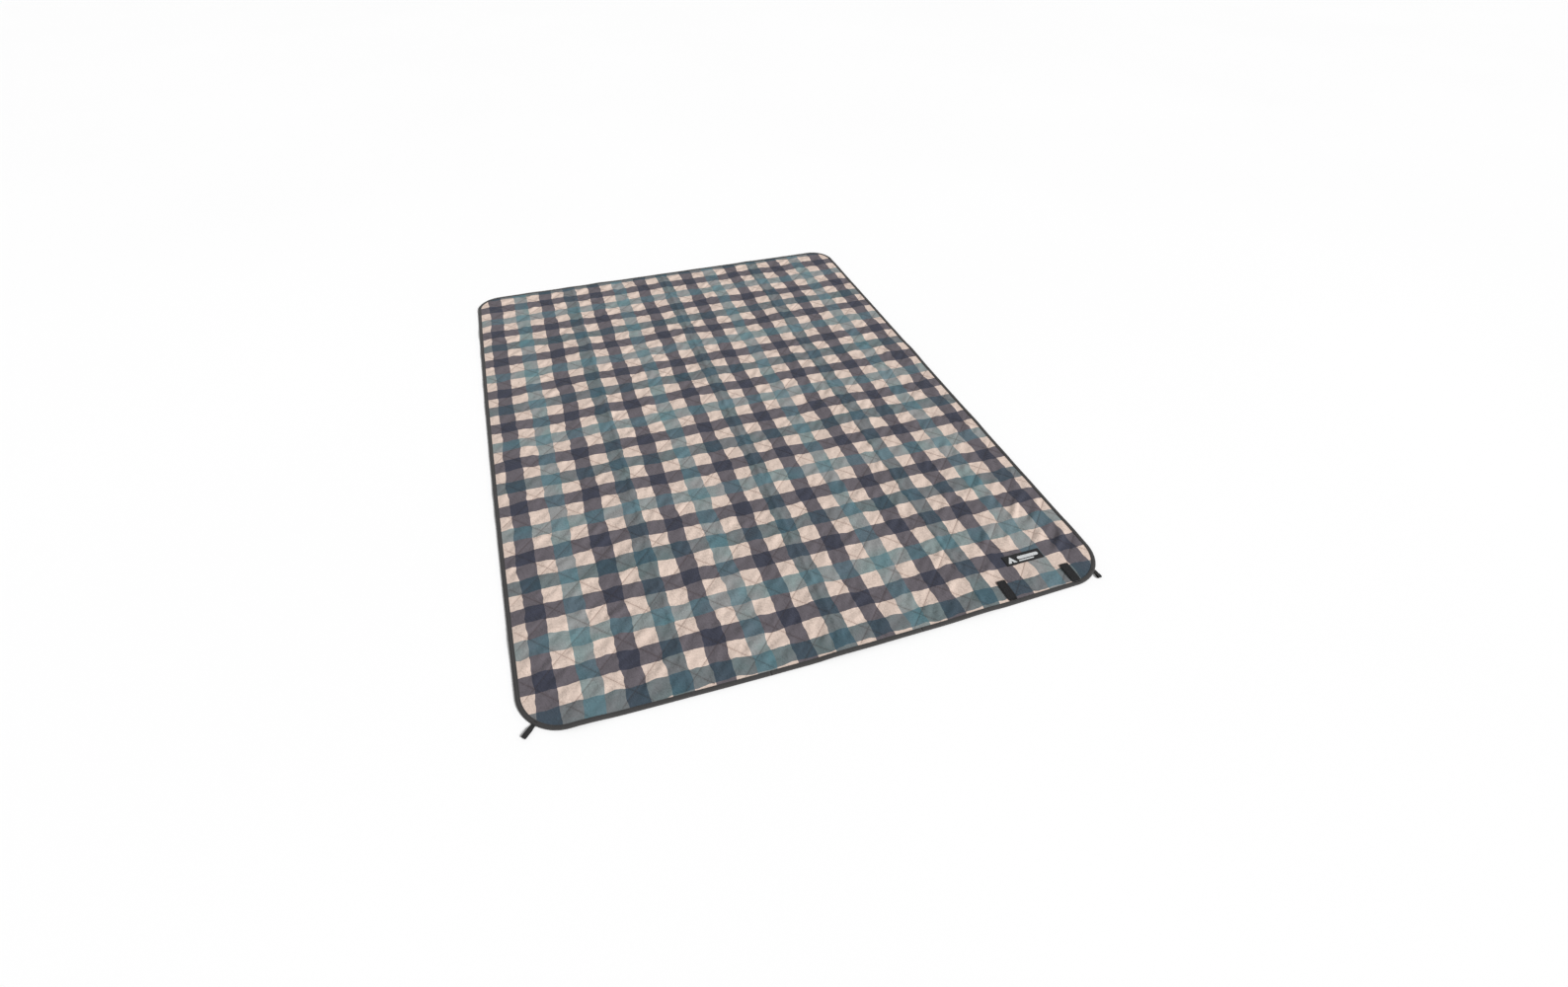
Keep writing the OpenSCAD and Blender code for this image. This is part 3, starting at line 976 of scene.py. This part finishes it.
def make_emblem():
    """A plain tent shape and two plain bars, embroidered on the label. It carries no name or letters."""
    solid = Solid()
    middle = (label_low[1] + label_high[1]) / 2
    low, high = label_top - 0.3 * MM, label_top + 0.2 * MM
    tent_x = label_low[0] + TENT_X * MM
    solid.add(*prism([(tent_x + x * MM, middle + y * MM) for x, y in TENT], low, high))
    for start, end, bottom, top in BARS:
        radius = (top - bottom) / 2
        outline = arc(end - radius, bottom + radius, radius, -90, 180, 9)
        outline += arc(start + radius, bottom + radius, radius, 90, 180, 9)
        solid.add(*prism([(label_low[0] + x * MM, middle + y * MM) for x, y in outline], low, high))
    return carried(solid.build("label_emblem", EMBLEM), "quarter_right")


def rim_stitches(low, high, inset, z, pitch, half):
    """Stitches round a rectangle, inside its rim."""
    x0, y0, x1, y1 = low[0] + inset, low[1] + inset, high[0] - inset, high[1] - inset
    corners = np.array([(x0, y0, z), (x1, y0, z), (x1, y1, z), (x0, y1, z)])
    starts, ends = [], []
    for a, b in zip(corners, np.roll(corners, -1, axis=0)):
        length = np.linalg.norm(b - a)
        count = int(length / pitch)
        along = (b - a) / length
        at = a + along * ((np.arange(count) + 0.5) * length / count)[:, None]
        starts.append(at - along * half)
        ends.append(at + along * half)
    return np.concatenate(starts), np.concatenate(ends)


def make_label_stitching():
    """The stitches round the label."""
    ends = rim_stitches(label_low, label_high, LABEL_HEM, label_top + 0.1 * MM, 2.9 * MM, 1.1 * MM)
    made = Solid().add(*stitches(*ends, 1.0, 0.22 * MM)).build("label_stitches", SEAM_THREAD)
    return carried(made, "quarter_right", "label_stitching")


label_pieces = [make_label(), make_emblem(), make_label_stitching()]


# ---------------- closing tabs and their patches

TAB_ROOT_IN, TAB_CORNER, TUCKED_Z = 4 * MM, 4 * MM, 4.55 * MM
PAD_CORNER = 3 * MM
HOOK_PITCH, HOOK_H, HOOK_LEAN, HOOK_R = 1.55 * MM, 0.42 * MM, 0.35 * MM, 0.26 * MM


def tab_height(along, flat):
    """Middle of the webbing's thickness at a distance from its root: it rises out of the binding's lip."""
    return TUCKED_Z + (flat - TUCKED_Z) * smooth((along + MM) / (6 * MM))


def make_webbing(side):
    """A tab's webbing, from under the binding's lip to its rounded free end."""
    low, high = box(f"tab_{side}_webbing")
    width, length, thickness = high - low
    centre = (low + high) / 2
    along = np.concatenate([np.linspace(-TAB_ROOT_IN, 8 * MM, 25), np.linspace(8.8 * MM, length, 50)])
    across = np.concatenate([[-1, -0.985, -0.95], np.linspace(-0.9, 0.9, 19), [0.95, 0.985, 1]])
    beyond = np.clip(along - (length - TAB_CORNER), 0, TAB_CORNER)
    half_w = width / 2 - TAB_CORNER + np.sqrt(TAB_CORNER**2 - beyond**2)
    x = centre[0] + across[None, :] * half_w[:, None]
    y = low[1] + np.broadcast_to(along[:, None], x.shape)
    middle = np.broadcast_to(tab_height(along, centre[2])[:, None], x.shape)
    selvedge = np.interp(np.abs(across), [0, 0.9, 0.95, 0.985, 1], [1, 1, 0.9, 0.72, 0.35])
    tip = np.interp(along, [length - 0.8 * MM, length], [1, 0.45])
    half = thickness / 2 * selvedge[None, :] * tip[:, None]
    top, bottom = (np.stack([x, y, middle + sign * half], -1) for sign in (1, -1))
    made = Solid().add(*closed_grid(top, bottom)).build(f"tab_{side}_strap", WEBBING)
    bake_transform(made)
    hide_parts(f"tab_{side}_webbing")
    return made


def make_tab_stitches(side):
    """The stitches that hold the hook pad to the webbing, in a rectangle on its upper face."""
    low, high = box(f"tab_{side}_hooks")
    webbing_top = box(f"tab_{side}_webbing")[1, 2]
    ends = rim_stitches(low, high, 2 * MM, webbing_top + 0.05 * MM, 2.7 * MM, 1.05 * MM)
    made = Solid().add(*stitches(*ends, 1.0, 0.2 * MM)).build(f"tab_{side}_stitches", BARTACK)
    return carried(made, f"tab_{side}")


def make_hooks(side):
    """The pad of small leaning hooks on the face of a tab that grips."""
    low, high = box(f"tab_{side}_hooks")
    radius, base = PAD_CORNER, low[2] + HOOK_H
    outline = []
    for side_x, side_y, turn in ((1, -1, -90), (1, 1, 0), (-1, 1, 90), (-1, -1, 180)):
        cx = (low[0] + high[0]) / 2 + side_x * ((high[0] - low[0]) / 2 - radius)
        cy = (low[1] + high[1]) / 2 + side_y * ((high[1] - low[1]) / 2 - radius)
        outline += arc(cx, cy, radius, turn, 90, 7)
    solid = Solid().add(*prism(outline, base, high[2]))
    x, y = np.meshgrid(
        np.arange(low[0] + 1.6 * MM, high[0] - 1.4 * MM, HOOK_PITCH),
        np.arange(low[1] + 1.6 * MM, high[1] - 1.4 * MM, HOOK_PITCH),
    )
    root_z = base + 0.1 * MM
    roots = np.stack([x.ravel(), y.ravel(), np.full(x.size, root_z)], -1)
    lean = np.where(np.arange(x.size) % 2, 1.0, -1.0)[:, None] * [0.0, HOOK_LEAN, 0.0]
    tips = roots + lean - [0, 0, root_z - low[2]]
    solid.add(*stitches(roots, tips, 1.0, HOOK_R))
    made = solid.build(f"tab_{side}_hook_pad", HOOKS)
    return carried(made, f"tab_{side}", f"tab_{side}_hooks")


PATCH_OVERLAP, PATCH_T = 0.15 * MM, 0.42 * MM


def make_patch(side):
    """A fleecy patch under the rug that a tab grips. It follows the backing."""
    low, high = box(f"tab_patch_{side}")
    x, y = np.meshgrid(np.linspace(low[0], high[0], 21), np.linspace(low[1], high[1], 81))
    pile = 0.12 * MM * np.sin(x * 2900) * np.sin(y * 2300 + 2 * np.sin(x * 700))
    rim = np.min([x - low[0], high[0] - x, y - low[1], high[1] - y], 0)
    round_off = 0.25 * MM * np.exp(-rim / (0.8 * MM))
    under = lift(x, y) + backing_height(x, y)
    top = laid(x, y, under + PATCH_OVERLAP - round_off * 0.3)
    bottom = laid(x, y, under - PATCH_T + pile + round_off)
    made = Solid().add(*closed_grid(top, bottom)).build(f"tab_patch_pile_{side}", FLEECE)
    return carried(made, "quarter_right", f"tab_patch_{side}")


tab_pieces, patches = [], []
for side in ("left", "right"):
    tab_pieces += [make_webbing(side), make_tab_stitches(side), make_hooks(side)]
    patches.append(make_patch(side))


# ---------------- peg loops

LOOP_W, LOOP_H, PLY_T = 10 * MM, 6.4 * MM, 0.8 * MM
LOOP_ROOT_IN, LOOP_NECK, LOOP_FLARE = 6 * MM, 4 * MM, 12 * MM


def make_loop(side, direction, length):
    """A peg loop: webbing that leaves the binding doubled, opens into a ring and comes back."""
    root = joint_point(f"peg_loop_{side}_lift")
    out = np.array([math.cos(direction), math.sin(direction), 0.0])
    across = np.array([-out[1], out[0], 0.0])
    ring = (LOOP_H - PLY_T) / 2
    end = length - ring - PLY_T / 2
    along = np.linspace(-LOOP_ROOT_IN, end, 30)
    flare = smooth((along - LOOP_NECK / 2) / min(LOOP_FLARE, end * 0.75))
    opening = PLY_T / 2 + (ring - PLY_T / 2) * flare
    turns = np.linspace(math.pi / 2, -math.pi / 2, 15)[1:-1]
    u = np.concatenate([along, end + ring * np.cos(turns), along[::-1]])
    h = np.concatenate([opening, ring * np.sin(turns), -opening[::-1]])
    run = run_along(np.stack([u, h], -1))
    slope = np.stack([np.gradient(u), np.gradient(h)], -1)
    slope /= np.linalg.norm(slope, axis=1, keepdims=True)
    width = np.array([-1, -0.96, -0.88, -0.5, 0, 0.5, 0.88, 0.96, 1.0])
    thick = np.interp(np.abs(width), [0, 0.88, 0.96, 1], [1, 1, 0.75, 0.35])
    faces = []
    for sign in (1, -1):
        shift = sign * PLY_T / 2 * thick[None, :]
        at_u = u[:, None] - slope[:, 1:] * shift
        at_h = h[:, None] + slope[:, :1] * shift
        points = root + at_u[..., None] * out + width[None, :, None] * across * LOOP_W / 2
        points[..., 2] += at_h
        faces.append(points)
    uv = np.stack(np.meshgrid(width * LOOP_W / 2, run), -1).reshape(-1, 2)
    solid = Solid().add(*closed_grid(*faces), uv=np.tile(uv, (2, 1)))
    made = solid.build(f"peg_loop_{side}_ribbon", LOOP_WEBBING)
    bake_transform(made)
    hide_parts(f"peg_loop_{side}")
    return made


left_reach = joint_point("peg_loop_left_lift")[0] - box("peg_loop_left")[0, 0]
left_length = (left_reach - LOOP_W / 2 * math.sqrt(0.5)) / math.sqrt(0.5)
right_length = joint_point("peg_loop_right_lift")[1] - box("peg_loop_right")[0, 1]
loops = [
    make_loop("left", math.radians(225), left_length),
    make_loop("right", math.radians(-90), right_length),
]


BARTACK_Z = RUG_T + 0.3 * MM
BARTACK_PITCH, BARTACK_HALF = 0.55 * MM, 0.9 * MM


def make_bartack(name, centre, direction, length):
    """A bar of dense zigzag stitches on a bed of thread."""
    along = np.array([math.cos(direction), math.sin(direction), 0.0])
    across = np.array([-along[1], along[0], 0.0])
    at = centre + along * np.linspace(-length / 2, length / 2, int(length / BARTACK_PITCH))[:, None]
    reach = across * BARTACK_HALF
    lean = along * 0.2 * MM
    solid = Solid().add(*stitches(at - reach - lean, at + reach + lean, 1.0, 0.3 * MM))
    bed = [
        (centre + along * length / 2 * a + across * BARTACK_HALF * 0.8 * b)[:2]
        for a, b in ((-1, -1), (1, -1), (1, 1), (-1, 1))
    ]
    solid.add(*prism(bed, centre[2] - 0.35 * MM, centre[2]))
    made = solid.build(f"{name}_stitches", BARTACK)
    body = "quarter_left" if name == "bartack_loop_left" else "quarter_right"
    return carried(made, body, name)


for name in ("bartack_tab_left", "bartack_tab_right", "bartack_loop_left", "bartack_loop_right"):
    low, high = box(name)
    centre = (low + high) / 2
    centre[2] = BARTACK_Z
    width, depth = (high - low)[:2]
    direction, length = {
        "bartack_loop_left": (math.radians(-45), width / math.sqrt(0.5) - 2 * MM),
        "bartack_loop_right": (math.atan2(depth - 1.2 * MM, width), width - MM),
    }.get(name, (0.0, width - MM))
    make_bartack(name, centre, direction, length)


# ---------------- studio

# The key light stands so many degrees above the ground, turned from the front towards the right
SURROUND, HORIZON, KEY_POWER = 0.33, 0.95, 3.6
KEY_HEIGHT, KEY_TURN, KEY_SPREAD = 37, 45, 22
FLOOR_SIZE, FLOOR_SHADES = 400, (0.93, 0.95)


def make_floor():
    """A plain pale floor, a little uneven in tone."""
    made = bpy.data.materials.new("floor")
    made.use_nodes = True
    tree = made.node_tree
    shader = tree.nodes["Principled BSDF"]
    place = node(tree, "TexCoord", out=3)
    tone = noise(tree, place, 0.6)
    pale = mixed(tree, tone, *((shade, shade, shade, 1) for shade in FLOOR_SHADES))
    tree.links.new(pale, shader.inputs["Base Color"])
    shader.inputs["Roughness"].default_value = 0.9
    shader.inputs["Specular IOR Level"].default_value = 0.1
    bpy.ops.mesh.primitive_plane_add(size=FLOOR_SIZE)
    floor = bpy.context.object
    floor.name = "floor"
    floor.data.materials.append(made)


def make_light():
    """A white surround, brightest at the horizon, and a soft light from the front right."""
    world = bpy.data.worlds.new("studio")
    bpy.context.scene.world = world
    world.use_nodes = True
    tree = world.node_tree
    height = node(tree, "SeparateXYZ", {0: node(tree, "TexCoord", out=0)}, out=2)
    low = maths(tree, "POWER", maths(tree, "SUBTRACT", 1.0, maths(tree, "ABSOLUTE", height)), 4.0)
    grey = maths(tree, "MULTIPLY_ADD", low, HORIZON - SURROUND, SURROUND)
    colour = node(tree, "CombineColor", {0: grey, 1: grey, 2: grey})
    tree.links.new(colour, tree.nodes["Background"].inputs[0])
    data = bpy.data.lights.new("key", "SUN")
    data.energy, data.angle = KEY_POWER, math.radians(KEY_SPREAD)
    key = bpy.data.objects.new("key", data)
    key.rotation_euler = (math.radians(90 - KEY_HEIGHT), 0, math.radians(KEY_TURN))
    bpy.context.scene.collection.objects.link(key)
    bpy.context.scene.view_settings.view_transform = "Standard"


make_floor()
make_light()
